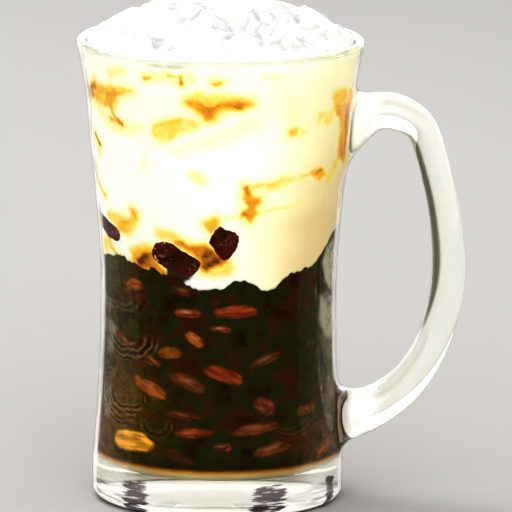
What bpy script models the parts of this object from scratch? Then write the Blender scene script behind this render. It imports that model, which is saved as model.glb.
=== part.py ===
"""A waisted glass mug of black bean sweet soup, heaped with crushed ice in coconut milk.

The origin is the centre of the mug's foot, +Z is up and the handle points along +X.
Lengths are in metres. Angles are in degrees round the mug, from the front at -Y towards +X.
"""

import math
import random

import bmesh
import bpy
from mathutils import Matrix, Vector, noise

MM = 0.001
GAP = 0.35 * MM  # between pieces that touch
WELD = 0.001 * MM

# The mug's outline, as (height, outer radius) in millimetres
OUTSIDE = [
    (0, 37.2), (10, 37.3), (22, 36.5), (40, 35.5), (58, 35.1), (73, 35.4),
    (88, 36.6), (106, 38.5), (119, 39.7), (131, 41.6), (138, 43.2),
]
MUG_HEIGHT = 138 * MM
WALL = 3.2 * MM
FLOOR = 10 * MM  # the glass under the soup
FLOOR_ROUND = 8 * MM
FOOT_ROUND = 3.2 * MM
MUG_STEPS = 48
MUG_BANDS = 10

# The handle's middle line in its own plane, as (reach, height, half thickness) in millimetres
HANDLE = [
    (37.5, 114.2, 8.1), (41.2, 114.6, 7.0), (46.2, 116.2, 5.7), (52.0, 116.2, 5.5),
    (59.5, 112.0, 4.9), (62.8, 103.0, 4.7), (66.2, 89.7, 4.6), (68.3, 74.6, 5.0),
    (67.5, 59.4, 5.1), (63.0, 44.6, 5.1), (56.4, 34.4, 5.5), (49.4, 28.7, 6.0),
    (43.4, 25.7, 6.7), (38.0, 24.5, 7.7), (34.2, 24.3, 8.2),
]
HANDLE_WIDTH_RATIO = 1.3  # its width from front to back over its thickness
HANDLE_SIDES = 16
HANDLE_SPANS = 2  # tube sections between two points of the middle line

# The uneven line where ice lies on soup, as (angle, height in millimetres) at the glass
SHORE = [
    (-180, 73), (-150, 71), (-115, 76), (-80, 74.5), (-58, 75.5), (-45, 73.8), (-30, 72.5),
    (-17, 70), (-8, 67.8), (0, 68.6), (6, 70.2), (15, 70.8), (27, 67.6), (38, 71.5), (56, 73.6),
    (66, 77.8), (75, 82), (95, 83), (120, 77), (150, 71), (180, 73),
]
SOUP_LEVEL = 71 * MM  # at the middle of the mug
SOUP_SIDE_TOP = 64 * MM  # under the whole shore
ICE_SIDE_FOOT = 88 * MM  # above the whole shore
FOOD_STEPS = 54
LAYER_RINGS = 4
LAYER_DIP = 1.5  # how late towards the glass the layer bends to the shore's height

# The soup's core stands back from the glass, and beans reach out of it
CORE_SETBACK = 1.9 * MM
BEAN_SIZE = Vector((12.4, 6.0, 6.6)) * MM  # along, through, and over its curved back
BEAN_BEND = 0.1  # how far its ends droop, over its height
BEAN_PRESS = 0.9 * MM  # how much of it the glass has flattened
FUSED_SIDES = 8
BEAN_SIDES = 10  # of a single bean
SIZE_SPREAD = 0.12
TILT_SPREAD = 24
# The beans that show from the front, as (angle, height in millimetres, tilt)
FRONT_BEANS = [
    (-18, 66.2, -4), (-49, 67, 10), (-16, 60.2, -3), (9, 61.7, 2), (1.5, 56.2, -6), (-37, 57.8, 40),
    (-12, 52.6, -36), (-55, 49.8, -20), (-25, 48.2, 4), (-38, 45.4, -25), (26, 47, 20),
    (3, 42.8, -20), (-16, 40, -20), (-38, 37.2, -22), (25, 33.2, -35), (-17, 31, -6),
    (51, 30.4, 12), (-46, 20.6, 2), (-12, 24.6, 4), (21, 26.4, 8), (3, 20, -5),
    (31, 19.4, 12), (-21, 17.2, -20), (64, 18, 30), (55, 50.2, -25), (-56, 32.4, 15), (50, 61, -12),
]
BACK_ROWS = 6
BACK_BEANS_A_ROW = 5
BACK_FROM = 76  # the first angle that the rows fill, as far as its mirror image
ROW_STAGGER = 0.25  # of the space between two beans, either way
ANGLE_SPREAD = 6
HEIGHT_SPREAD = 1.5 * MM
LOWEST_BEAN = 17 * MM
HIGHEST_BEAN = 64 * MM
SEED = 11

# Single beans held in the ice: (node, angle, height in millimetres, tilt, size ratios)
ICE_BEANS = [
    ("bean_in_ice_front", -21, 77.6, -22, (1.18, 1.1, 1.14)),
    ("bean_in_ice_middle", 2.5, 83.6, -38, (0.82, 1.1, 1.22)),
    ("bean_in_ice_left", -68, 84.6, -30, (1.12, 1.0, 1.02)),
    ("bean_in_ice_right", 112, 90, 14, (1.0, 1.0, 1.05)),
    ("bean_in_ice_back", 168, 81, -20, (1.1, 1.05, 1.0)),
    ("bean_in_ice_behind_left", -128, 86, 26, (0.95, 1.0, 1.1)),
]
POCKET_GROWTH = 0.8 * MM  # a pocket in the ice is this much longer, wider and taller than its bean

# The heap of ice
ICE_EDGE = 135.5 * MM  # where it meets the glass
ICE_SHOULDER = 1.2 * MM  # how far in from its edge the ice turns up into the heap
# Its outline, as (distance from the middle, height) in millimetres
HEAP = [(0, 150), (12, 149.6), (19, 148.4), (24.5, 145.6), (30, 143.6), (35, 141.1), (39, 138.6)]
HEAP_RADIUS = 39 * MM
HEAP_RINGS = 9
RING_SPACING = 0.85  # below 1, the rings lie closer together towards the glass
LUMP_HEIGHT = 2.2 * MM
LUMP_LENGTH = 11 * MM
LUMP_FADE = 4 * MM  # the lumps fade out over this width at the heap's edge
SMALL_LUMP_SHARE = 0.45  # of the height and of the length of a lump
SMALL_LUMP_SHIFT = Vector((7, 3, 1))

SHARP = math.radians(40)


def smooth_line(stations, at):
    """The height at `at` of a smooth curve through stations, a list of (x, y) pairs."""
    last = len(stations) - 1
    at = min(max(at, stations[0][0]), stations[last][0])
    i = max(k for k in range(last) if stations[k][0] <= at)

    def slope(k):
        before, after = stations[max(k - 1, 0)], stations[min(k + 1, last)]
        return (after[1] - before[1]) / (after[0] - before[0])

    (x0, y0), (x1, y1) = stations[i], stations[i + 1]
    span = x1 - x0
    t = (at - x0) / span
    bump = t * (1 - t)
    line = y0 + (y1 - y0) * t
    chord = (y1 - y0) / span
    return line + span * bump * ((slope(i) - chord) * (1 - t) - (slope(i + 1) - chord) * t)


def outer_radius(z):
    return smooth_line(OUTSIDE, z / MM) * MM


def inner_radius(z):
    return outer_radius(z) - WALL


def hollow_radius(z):
    """The mug's inner radius, with the rounded corner at its floor."""
    bend = FLOOR + FLOOR_ROUND
    if z >= bend:
        return inner_radius(z)
    drop = min(bend - z, FLOOR_ROUND)
    return inner_radius(bend) - FLOOR_ROUND + math.sqrt(FLOOR_ROUND**2 - drop**2)


def arc(centre, radius, start, end, steps):
    """Points (radius, height) along an arc, from the start angle to the end angle."""
    angles = [math.radians(start + (end - start) * k / steps) for k in range(steps + 1)]
    return [(centre[0] + radius * math.cos(a), centre[1] + radius * math.sin(a)) for a in angles]


def wall_line(radius_at, start, end, steps):
    """Points up or down a wall whose radius follows radius_at."""
    heights = [start + (end - start) * k / steps for k in range(steps + 1)]
    return [(radius_at(z), z) for z in heights]


def floor_line(setback, lift):
    """The bottom of the mug's hollow from the middle out, drawn in at the side and lifted."""
    bend = FLOOR + FLOOR_ROUND
    corner = arc((0, 0), 1, -90, 0, 4)
    inner = inner_radius(bend) - FLOOR_ROUND
    round_line = [
        (inner + x * (FLOOR_ROUND - setback), bend + z * (FLOOR_ROUND - lift)) for x, z in corner
    ]
    return [(0, FLOOR + lift), *round_line]


def new_collection(name):
    collection = bpy.data.collections.new(name)
    bpy.context.scene.collection.children.link(collection)
    return collection


def add(name, data, collection="black_bean_sweet_soup"):
    obj = bpy.data.objects.new(name, data)
    bpy.data.collections[collection].objects.link(obj)
    return obj


def as_mesh(obj):
    """Obj as a plain closed mesh, with its modifiers applied and its seams welded."""
    bpy.context.view_layer.update()
    evaluated = obj.evaluated_get(bpy.context.evaluated_depsgraph_get())
    mesh = bpy.data.meshes.new_from_object(evaluated)
    mesh.transform(obj.matrix_world)
    shape = bmesh.new()
    shape.from_mesh(mesh)
    bmesh.ops.remove_doubles(shape, verts=shape.verts, dist=WELD)
    bmesh.ops.recalc_face_normals(shape, faces=shape.faces)
    shape.to_mesh(mesh)
    shape.free()
    name, collection = obj.name, obj.users_collection[0].name
    bpy.data.objects.remove(obj)
    return add(name, mesh, collection)


def turned(name, profile, steps):
    """A solid of revolution from a profile of (radius, height), from the top down its outer side."""
    mesh = bpy.data.meshes.new(name)
    mesh.from_pydata([(r, 0, z) for r, z in profile], [(k, k + 1) for k in range(len(profile) - 1)], [])
    obj = add(name, mesh)
    screw = obj.modifiers.new("turn", "SCREW")
    screw.steps = screw.render_steps = steps
    screw.use_merge_vertices = True
    screw.merge_threshold = WELD
    return as_mesh(obj)


def combined(obj, operation, group):
    """Obj after one applied Boolean with a collection of solids, which are then used up."""
    cut = obj.modifiers.new("combine", "BOOLEAN")
    cut.operation = operation
    cut.solver = "EXACT"
    cut.operand_type = "COLLECTION"
    cut.collection = group
    result = as_mesh(obj)
    for used in list(group.objects):
        bpy.data.objects.remove(used)
    bpy.data.collections.remove(group)
    return result


def finished(obj, name, colour, roughness, transmission=0.0):
    """Names a piece, shades it smooth and gives it a material of its own."""
    material = bpy.data.materials.new(name)
    material.use_nodes = True
    surface = material.node_tree.nodes["Principled BSDF"]
    surface.inputs["Base Color"].default_value = (*colour, 1)
    surface.inputs["Roughness"].default_value = roughness
    surface.inputs["Metallic"].default_value = 0
    surface.inputs["Transmission Weight"].default_value = transmission
    obj.name = obj.data.name = name
    obj.data.materials.clear()
    obj.data.materials.append(material)
    obj.data.shade_smooth()
    obj.data.set_sharp_from_angle(angle=SHARP)
    return obj


def mug_profile():
    """The mug's section: its hollow from the middle out, the rim, the outside and the foot."""
    lip = WALL / 2
    rim = MUG_HEIGHT - lip
    hollow = floor_line(0, 0)
    inside = wall_line(inner_radius, hollow[-1][1], rim, MUG_BANDS)[1:]
    lip_round = arc((inner_radius(rim) + lip, rim), lip, 180, 0, 4)[1:]
    outside = wall_line(outer_radius, rim, FOOT_ROUND, MUG_BANDS)[1:]
    foot_edge = outer_radius(FOOT_ROUND) - FOOT_ROUND
    foot = arc((foot_edge, FOOT_ROUND), FOOT_ROUND, 0, -90, 3)[1:]
    return hollow + inside + lip_round + outside + foot + [(0, 0)]


def handle_tube(collection):
    """The handle as a tube of changing thickness, wider than it is thick."""
    curve = bpy.data.curves.new("handle", "CURVE")
    curve.dimensions = "3D"
    curve.bevel_depth = MM
    curve.bevel_resolution = (HANDLE_SIDES - 4) // 2
    curve.resolution_u = HANDLE_SPANS
    curve.use_fill_caps = True
    line = curve.splines.new("BEZIER")
    line.bezier_points.add(len(HANDLE) - 1)
    for point, (reach, height, half) in zip(line.bezier_points, HANDLE):
        point.co = Vector((reach, 0, height)) * MM
        point.radius = half
        point.handle_left_type = point.handle_right_type = "AUTO"
    obj = add("handle", curve, collection)
    obj.scale = (1, HANDLE_WIDTH_RATIO, 1)
    return as_mesh(obj)


def build_mug():
    body = turned("mug", mug_profile(), MUG_STEPS)
    handle = new_collection("handle")
    handle_tube(handle.name)
    mug = combined(body, "UNION", handle)
    return finished(mug, "mug", (0.93, 0.95, 0.92), 0.04, transmission=1.0)


def angle_of(x, y):
    return math.degrees(math.atan2(x, -y))


def layer_rings(setback):
    """The flat rings from the middle to the glass that shape_layer then bends to the shore."""
    wide = inner_radius(SOUP_LEVEL) - setback
    return [(wide * k / LAYER_RINGS, SOUP_LEVEL) for k in range(LAYER_RINGS + 1)]


def shape_layer(solid, setback, lift):
    """Bends the rings of the layer between soup and ice, so that they meet the glass at the shore."""
    wide = inner_radius(SOUP_LEVEL) - setback
    for vertex in solid.data.vertices:
        x, y, z = vertex.co
        if abs(z - SOUP_LEVEL) > WELD:
            continue
        shore = smooth_line(SHORE, angle_of(x, y)) * MM
        spread = (inner_radius(shore) - setback) / wide
        share = math.hypot(x, y) * spread / inner_radius(shore)
        rise = (shore - SOUP_LEVEL) * share**LAYER_DIP
        vertex.co = (x * spread, y * spread, SOUP_LEVEL + rise + lift)


def bean_frame(angle, height, tilt, depth):
    """Where a bean lies against the glass: its length runs round the mug, tilted up to the right."""
    turn = math.radians(angle)
    outward = Vector((math.sin(turn), -math.cos(turn), 0))
    centre = outward * (inner_radius(height) - GAP - depth / 2 + BEAN_PRESS)
    centre.z = height
    along = Vector((math.cos(turn), math.sin(turn), 0))
    axes = Matrix((along, -outward, Vector((0, 0, 1)))).transposed()
    lean = Matrix.Rotation(-math.radians(tilt), 3, "Y")
    return Matrix.Translation(centre) @ (axes @ lean).to_4x4()


def bean(name, frame, size, collection, sides, pressed=True):
    """A bean with drooping ends, and a flat where it is pressed against the glass."""
    shape = bmesh.new()
    bmesh.ops.create_uvsphere(shape, u_segments=sides, v_segments=sides * 2 // 3, radius=0.5)
    for vertex in shape.verts:
        x, y, z = vertex.co
        droop = BEAN_BEND * (2 * x) ** 2
        vertex.co = frame @ Vector((x * size.x, y * size.y, (z - droop) * size.z))
        reach = math.hypot(vertex.co.x, vertex.co.y)
        limit = hollow_radius(vertex.co.z) - GAP
        if pressed and reach > limit:
            vertex.co.x *= limit / reach
            vertex.co.y *= limit / reach
    mesh = bpy.data.meshes.new(name)
    shape.to_mesh(mesh)
    shape.free()
    mesh.transform(frame.inverted())
    obj = add(name, mesh, collection)
    obj.matrix_world = frame
    return obj


def back_beans(rng):
    """Places for the beans at the sides and the back, in staggered rows."""
    span = 360 - 2 * BACK_FROM
    for row in range(BACK_ROWS):
        height = LOWEST_BEAN + (HIGHEST_BEAN - LOWEST_BEAN) * row / (BACK_ROWS - 1)
        stagger = ROW_STAGGER if row % 2 else -ROW_STAGGER
        for k in range(BACK_BEANS_A_ROW):
            angle = BACK_FROM + span * (k + 0.5 + stagger) / BACK_BEANS_A_ROW
            yield (
                angle + rng.uniform(-ANGLE_SPREAD, ANGLE_SPREAD),
                (height + rng.uniform(-HEIGHT_SPREAD, HEIGHT_SPREAD)) / MM,
                rng.uniform(-TILT_SPREAD, TILT_SPREAD),
            )


def build_soup():
    """The heap of beans in soup: a core inside the glass, with the beans that show at it fused on."""
    rng = random.Random(SEED)
    bottom = floor_line(CORE_SETBACK, GAP)
    side = wall_line(lambda z: inner_radius(z) - CORE_SETBACK, SOUP_SIDE_TOP, FLOOR + FLOOR_ROUND, 4)
    core = turned("soup", layer_rings(CORE_SETBACK) + side[:-1] + bottom[::-1], FOOD_STEPS)
    shape_layer(core, CORE_SETBACK, 0)
    beans = new_collection("fused_beans")
    for k, (angle, height, tilt) in enumerate([*FRONT_BEANS, *back_beans(rng)]):
        size = BEAN_SIZE * rng.uniform(1 - SIZE_SPREAD, 1 + SIZE_SPREAD)
        frame = bean_frame(angle, height * MM, tilt, size.y)
        bean(f"fused_bean_{k}", frame, size, "fused_beans", FUSED_SIDES)
    soup = combined(core, "UNION", beans)
    return finished(soup, "bean_soup", (0.035, 0.018, 0.006), 0.25)


def heap_height(x, y):
    """The height of the heap's lumpy top over the point x, y."""
    reach = math.hypot(x, y)
    dome = smooth_line(HEAP, reach / MM) * MM
    fade = max(0.0, min(1.0, (HEAP_RADIUS - reach) / LUMP_FADE))
    spot = Vector((x, y, 0)) / LUMP_LENGTH
    small = noise.noise(spot / SMALL_LUMP_SHARE + SMALL_LUMP_SHIFT)
    return dome + fade * LUMP_HEIGHT * (noise.noise(spot) + SMALL_LUMP_SHARE * small)


def ice_body():
    """The ice from the layer up to the glass's brim, with the heap over it."""
    top = [(HEAP_RADIUS * (k / HEAP_RINGS) ** RING_SPACING, MUG_HEIGHT) for k in range(HEAP_RINGS)]
    brim = [(inner_radius(ICE_EDGE) - GAP - ICE_SHOULDER, MUG_HEIGHT)]
    side = wall_line(lambda z: inner_radius(z) - GAP, ICE_EDGE, ICE_SIDE_FOOT, 5)
    body = turned("ice", top + brim + side + layer_rings(GAP)[::-1], FOOD_STEPS)
    shape_layer(body, GAP, GAP)
    for vertex in body.data.vertices:
        if vertex.co.z > ICE_EDGE + WELD:
            vertex.co.z = heap_height(vertex.co.x, vertex.co.y)
    return body


def build_ice_and_beans():
    """The ice above the layer, and the single beans that lie in pockets of it at the glass."""
    pockets = new_collection("pockets")
    for name, angle, height, tilt, ratios in ICE_BEANS:
        size = Vector([a * b for a, b in zip(BEAN_SIZE, ratios)])
        frame = bean_frame(angle, height * MM, tilt, size.y)
        growth = Vector((POCKET_GROWTH, POCKET_GROWTH, POCKET_GROWTH))
        bean("pocket_" + name, frame, size + growth, "pockets", BEAN_SIDES, pressed=False)
        solid = bean("new_bean", frame, size, "black_bean_sweet_soup", BEAN_SIDES)
        finished(solid, name, (0.06, 0.012, 0.008), 0.3)
    ice = combined(ice_body(), "DIFFERENCE", pockets)
    return finished(ice, "coconut_ice", (0.93, 0.9, 0.8), 0.5)


def main():
    for obj in list(bpy.data.objects):
        bpy.data.objects.remove(obj)
    new_collection("black_bean_sweet_soup")
    build_mug()
    build_soup()
    build_ice_and_beans()


main()
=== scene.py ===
"""A glass mug of black bean sweet soup under crushed ice in coconut milk, on a pale floor.

The mug stands at the origin with its handle along +X. Sizes are in millimetres, and become metres
where a mesh is made. Angles are in degrees round the mug, from the front at -Y towards +X.
"""

import math
import random

import bmesh
import bpy
import numpy as np
from mathutils import Matrix, Vector, noise


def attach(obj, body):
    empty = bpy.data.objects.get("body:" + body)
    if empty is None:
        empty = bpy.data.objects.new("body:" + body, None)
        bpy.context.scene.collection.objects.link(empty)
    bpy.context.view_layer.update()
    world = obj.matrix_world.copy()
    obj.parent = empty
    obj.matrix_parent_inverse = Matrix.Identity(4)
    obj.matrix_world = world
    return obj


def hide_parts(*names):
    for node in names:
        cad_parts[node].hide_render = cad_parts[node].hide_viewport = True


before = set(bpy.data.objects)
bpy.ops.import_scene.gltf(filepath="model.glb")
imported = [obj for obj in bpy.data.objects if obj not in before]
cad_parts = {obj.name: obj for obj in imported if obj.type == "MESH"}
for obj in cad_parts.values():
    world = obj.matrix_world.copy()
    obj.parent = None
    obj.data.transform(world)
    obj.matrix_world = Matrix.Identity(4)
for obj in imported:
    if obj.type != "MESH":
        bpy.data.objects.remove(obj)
MM = 0.001
BODY = "root"
SEED = 7

# The view, in metres: its height over the horizon and its lean in degrees, its distance, what it
# looks at and how much it takes in there, and the side of the picture in pixels
VIEW_ELEVATION = 11.05
VIEW_LEAN = 0.48
VIEW_DISTANCE = 3.0
VIEW_TARGET = Vector((11.03, 0, 72.25)) * MM
VIEW_WIDTH = 152.2 * MM
PICTURE = 512
SENSOR = 36
SEEN_ROUNDS = 8  # how often a place in the picture is worked out anew from its height
SEEN_EDGE = 0.97  # the share of the mug's radius past which places are taken to lie at its edge

# The mug, as in the solid model: (height, outer radius)
OUTSIDE = [
    (0, 37.2), (10, 37.3), (22, 36.5), (40, 35.5), (58, 35.1), (73, 35.4),
    (88, 36.6), (106, 38.5), (119, 39.7), (131, 41.6), (138, 43.2),
]
MUG_HEIGHT = 138.0
WALL = 3.2
FLOOR = 10.0
FLOOR_ROUND = 8.0
FLOOR_BEND = FLOOR + FLOOR_ROUND
FOOT_ROUND = 3.2
GLASS_IOR = 1.3
# The radii at which angles are turned into lengths: on the outlines of the picture, and on the beans
OUTLINE_RADIUS = 35.0
BEAN_RADIUS = 32.0

# The line where ice lies on soup, as (angle, height) at the glass
SHORE = [
    (-180, 73), (-150, 71), (-115, 76), (-80, 74.5), (-58, 75.5), (-45, 73.8), (-30, 72.5),
    (-17, 70), (-8, 67.8), (0, 68.6), (6, 70.2), (15, 70.8), (27, 67.6), (38, 71.5), (56, 73.6),
    (66, 77.8), (75, 82), (95, 83), (120, 77), (150, 71), (180, 73),
]
# How far the contents reach into the glass, so that no air shows between them
SOUP_BITE = 0.10
ICE_BITE = 0.16
BEAN_BITE = 0.30
# The hidden faces between soup and ice: their height in the middle, and their number of rings
MEETING_HEIGHT = 71.0
MEETING_RINGS = 5


def srgb(red, green, blue):
    """A colour given as it looks on a screen, from 0 to 255, as light."""
    channels = [c / 255 for c in (red, green, blue)]
    return tuple(c / 12.92 if c <= 0.04045 else ((c + 0.055) / 1.055) ** 2.4 for c in channels)


def smooth_line(stations, at):
    """The value at `at`, a number or an array, of a smooth curve through (x, y) stations."""
    x, y = np.array(stations, dtype=float).T
    last = len(x) - 1
    index = np.arange(last + 1)
    before = np.maximum(index - 1, 0)
    after = np.minimum(index + 1, last)
    slope = (y[after] - y[before]) / (x[after] - x[before])
    at = np.clip(at, x[0], x[last])
    i = np.clip(np.searchsorted(x, at, side="right") - 1, 0, last - 1)
    span = x[i + 1] - x[i]
    t = (at - x[i]) / span
    chord = (y[i + 1] - y[i]) / span
    bend = (slope[i] - chord) * (1 - t) - (slope[i + 1] - chord) * t
    return y[i] + (y[i + 1] - y[i]) * t + span * t * (1 - t) * bend


def outer_radius(z):
    return smooth_line(OUTSIDE, z)


def inner_radius(z):
    return outer_radius(z) - WALL


def smoothstep(low, high, value):
    t = np.clip((value - low) / (high - low), 0, 1)
    return t * t * (3 - 2 * t)


def window(value, start, full, fall, end):
    """1 from full to fall, and smoothly 0 before start and after end."""
    return smoothstep(start, full, value) * smoothstep(end, fall, value)


def bell(value, width, power=2):
    """1 where value is 0, falling to nothing past width on both sides."""
    return np.exp(-((value / width) ** power))


def around(angle, centre):
    """The angle from centre, between -180 and 180."""
    return (angle - centre + 180) % 360 - 180


def round_places(spots):
    """The angles and the distances from the mug's axis of points, one in a row."""
    return np.degrees(np.arctan2(spots[:, 0], -spots[:, 1])), np.hypot(spots[:, 0], spots[:, 1])


def seen(x, y):
    """The angle and height, at the glass's inside, of a place in the picture."""
    scale = VIEW_WIDTH / MM / PICTURE
    lean = math.radians(VIEW_LEAN)
    rise = math.radians(VIEW_ELEVATION)
    a = (x - PICTURE / 2) * scale
    b = (PICTURE / 2 - y) * scale
    height = VIEW_TARGET.z / MM + b
    angle = 0.0
    for _ in range(SEEN_ROUNDS):
        outer = float(outer_radius(height))
        inner = outer - WALL
        near = 1 - inner * math.cos(angle) * MM / VIEW_DISTANCE
        across = (a * math.cos(lean) - b * math.sin(lean)) * near + VIEW_TARGET.x / MM
        up = (a * math.sin(lean) + b * math.cos(lean)) * near
        share = max(-SEEN_EDGE, min(SEEN_EDGE, across / outer))
        bend = math.asin(share) - math.asin(share / GLASS_IOR)
        angle = bend + math.asin(share * outer / GLASS_IOR / inner)
        height = VIEW_TARGET.z / MM + (up + inner * math.cos(angle) * math.sin(rise)) / math.cos(rise)
    return math.degrees(angle), height


def seen_all(places):
    return [seen(x, y) for x, y in places]


def new_object(name, data):
    obj = bpy.data.objects.new(name, data)
    bpy.context.scene.collection.objects.link(obj)
    return obj


def new_mesh(name, points, faces):
    """A smooth-shaded mesh from points in millimetres."""
    mesh = bpy.data.meshes.new(name)
    mesh.from_pydata(np.asarray(points) * MM, [], faces)
    mesh.validate()
    mesh.shade_smooth()
    return mesh


def shape_mesh(name, shape):
    """A mesh from a bmesh, which is freed."""
    mesh = bpy.data.meshes.new(name)
    shape.to_mesh(mesh)
    shape.free()
    return mesh


def set_fields(mesh, kind="FLOAT", part="value", **fields):
    """Stores values at the mesh's points, each field under its own name."""
    for name, values in fields.items():
        attribute = mesh.attributes.new(name, kind, "POINT")
        attribute.data.foreach_set(part, np.asarray(values, dtype=np.float32).ravel())


def ridden(obj, material, slot, *nodes):
    """Gives a piece its material, and lets it ride and stand for its CAD nodes. The slot is not used."""
    obj.data.materials.clear()
    obj.data.materials.append(material)
    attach(obj, BODY)
    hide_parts(*nodes)
    return obj


# Materials


class Value:
    """The output of a node in a material. What is done with it adds more nodes."""

    def __init__(self, nodes, socket):
        self.nodes = nodes
        self.socket = socket

    def __add__(self, other):
        return self.nodes.math("ADD", self, other)

    def __sub__(self, other):
        return self.nodes.math("SUBTRACT", self, other)

    def __mul__(self, other):
        return self.nodes.math("MULTIPLY", self, other)

    def __pow__(self, other):
        return self.nodes.math("POWER", self, other)

    def __abs__(self):
        return self.nodes.math("ABSOLUTE", self)

    def sine(self):
        return self.nodes.math("SINE", self)

    def remap(self, low, high, to_low=0.0, to_high=1.0):
        """The value from the range low to high, clamped and moved smoothly to another range."""
        inputs = {0: self, 1: low, 2: high, 3: to_low, 4: to_high}
        return self.nodes.add("MapRange", inputs, interpolation_type="SMOOTHSTEP")

    def ramp(self, *stops):
        """A colour for a value between 0 and 1, from (position, colour) stops."""
        colour = self.nodes.add("ValToRGB", {"Fac": self}, "Color")
        elements = colour.socket.node.color_ramp.elements
        while len(elements) < len(stops):
            elements.new(1.0)
        for element, (position, stop) in zip(elements, stops):
            element.position = position
            element.color = (*stop, 1)
        return colour

    def painted(self, colour, share, blend="MIX"):
        """This colour with another painted over it by a share between 0 and 1."""
        return self.nodes.mix(share, self, colour, blend)


class Nodes:
    """Adds nodes to a new material."""

    def __init__(self, name):
        self.material = bpy.data.materials.new(name)
        self.material.use_nodes = True
        self.tree = self.material.node_tree

    def put(self, value, target):
        """Sets a socket to a number, vector or colour, or links it to a Value."""
        if isinstance(value, Value):
            self.tree.links.new(value.socket, target)
        else:
            target.default_value = (*value, 1) if target.type == "RGBA" else value

    def add(self, kind, inputs, output=0, **settings):
        """A new node with inputs by name or number, as the Value of one of its outputs."""
        node = self.tree.nodes.new("ShaderNode" + kind)
        for name, value in settings.items():
            setattr(node, name, value)
        for key, value in inputs.items():
            self.put(value, node.inputs[key])
        return Value(self, node.outputs[output])

    def math(self, operation, a, b=0.0):
        return self.add("Math", {0: a, 1: b}, operation=operation)

    def mix(self, share, a, b, blend="MIX"):
        return self.add("Mix", {0: share, 6: a, 7: b}, 2, data_type="RGBA", blend_type=blend)

    def field(self, name, output="Fac"):
        """What the mesh carries under that name."""
        return self.add("Attribute", {}, output, attribute_name=name)

    def parts(self, name):
        """The three parts of a vector that the mesh carries."""
        split = self.add("SeparateXYZ", {0: self.field(name, "Vector")})
        return [Value(self, socket) for socket in split.socket.node.outputs]

    def joined(self, *parts):
        return self.add("CombineXYZ", dict(enumerate(parts)))

    def place(self, stretch=None):
        """The piece's own coordinates in metres, stretched if wanted."""
        spot = self.add("TexCoord", {}, "Object")
        return self.add("Mapping", {"Vector": spot, "Scale": stretch}) if stretch else spot

    def noise(self, size, detail=3.0, roughness=0.5, distortion=0.0, stretch=None, where=None):
        """Noise between 0 and 1 with lumps of `size` millimetres."""
        inputs = {
            "Vector": where or self.place(stretch), "Scale": 1 / (size * MM), "Detail": detail,
            "Roughness": roughness, "Distortion": distortion,
        }
        return self.add("TexNoise", inputs, "Fac")

    def cells(self, size):
        """The distance to the nearest of scattered points, in cells of `size` millimetres."""
        return self.add("TexVoronoi", {"Vector": self.place(), "Scale": 1 / (size * MM)}, "Distance")

    def bump(self, height, strength, distance):
        inputs = {"Height": height, "Strength": strength, "Distance": distance * MM}
        return self.add("Bump", inputs, "Normal")

    def shaded(self, **settings):
        """The material, with its surface's sockets set by name."""
        surface = self.tree.nodes["Principled BSDF"]
        for name, value in settings.items():
            self.put(value, surface.inputs[name.replace("_", " ")])
        return self.material


def glass_material():
    """Clear glass, faintly cream, with painted pale light in streaks on its edges where they turn away, and
    a painted dark line at their very edge.
    """
    nodes = Nodes("mug_glass")
    facing = nodes.add("LayerWeight", {"Blend": 0.5}, "Facing")
    # Painted light for the glass's edges: pale streaks, evenly pale in the base
    streak = nodes.noise(1.7, 3.0, 0.6, stretch=(1.0, 1.0, 0.14))
    pale = streak.ramp((0.36, (0.34, 0.32, 0.31)), (0.46, (0.62, 0.60, 0.57)), (0.6, (0.78, 0.76, 0.74)))
    pale = pale.painted((0.74, 0.73, 0.72), nodes.field("base"))
    # Fine streaks in the thick base, and smudges in it that are painted dark reflections
    fine = nodes.noise(2.6, 3.0, 0.6, stretch=(0.16, 0.16, 2.2)).remap(0.47, 0.57)
    clear = nodes.mix(fine * nodes.field("streaks") * 0.9, (0.985, 0.99, 0.935), (0.33, 0.32, 0.31))
    ragged = nodes.noise(3.4, 4.0, 0.65, stretch=(0.3, 0.3, 3.2))
    smudge = (ragged * 2.4 + nodes.field("smudge")).remap(1.83, 2.03)
    clear = clear.painted((0.04, 0.028, 0.036), smudge)
    pale = pale.painted((0.06, 0.05, 0.06), smudge)
    # Painted grey shade on the rim's edge, and painted shade along the handle: thin pale olive lines and a
    # dark stripe on its inner side
    patchy = nodes.noise(7, 2.0).remap(0.4, 0.6, 0.35, 1.0)
    clear = clear.painted((0.30, 0.31, 0.28), patchy * nodes.field("lip"))
    clear = clear.painted((0.62, 0.59, 0.44), nodes.field("tan"))
    clear = clear.painted((0.07, 0.068, 0.04), nodes.field("band"))
    # Painted light where the glass turns away, which lets less light through there, and a painted dark
    # olive line at the very edge
    colour = clear.painted(pale, facing.remap(0.72, 0.77))
    colour = colour.painted(srgb(118, 124, 100), facing.remap(0.87, 0.90))
    open_share = facing.remap(0.70, 0.78, 1.0, 0.25)
    open_share = open_share - open_share * nodes.field("frost")
    return nodes.shaded(Base_Color=colour, Transmission_Weight=open_share, IOR=GLASS_IOR, Roughness=0.0)


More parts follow.
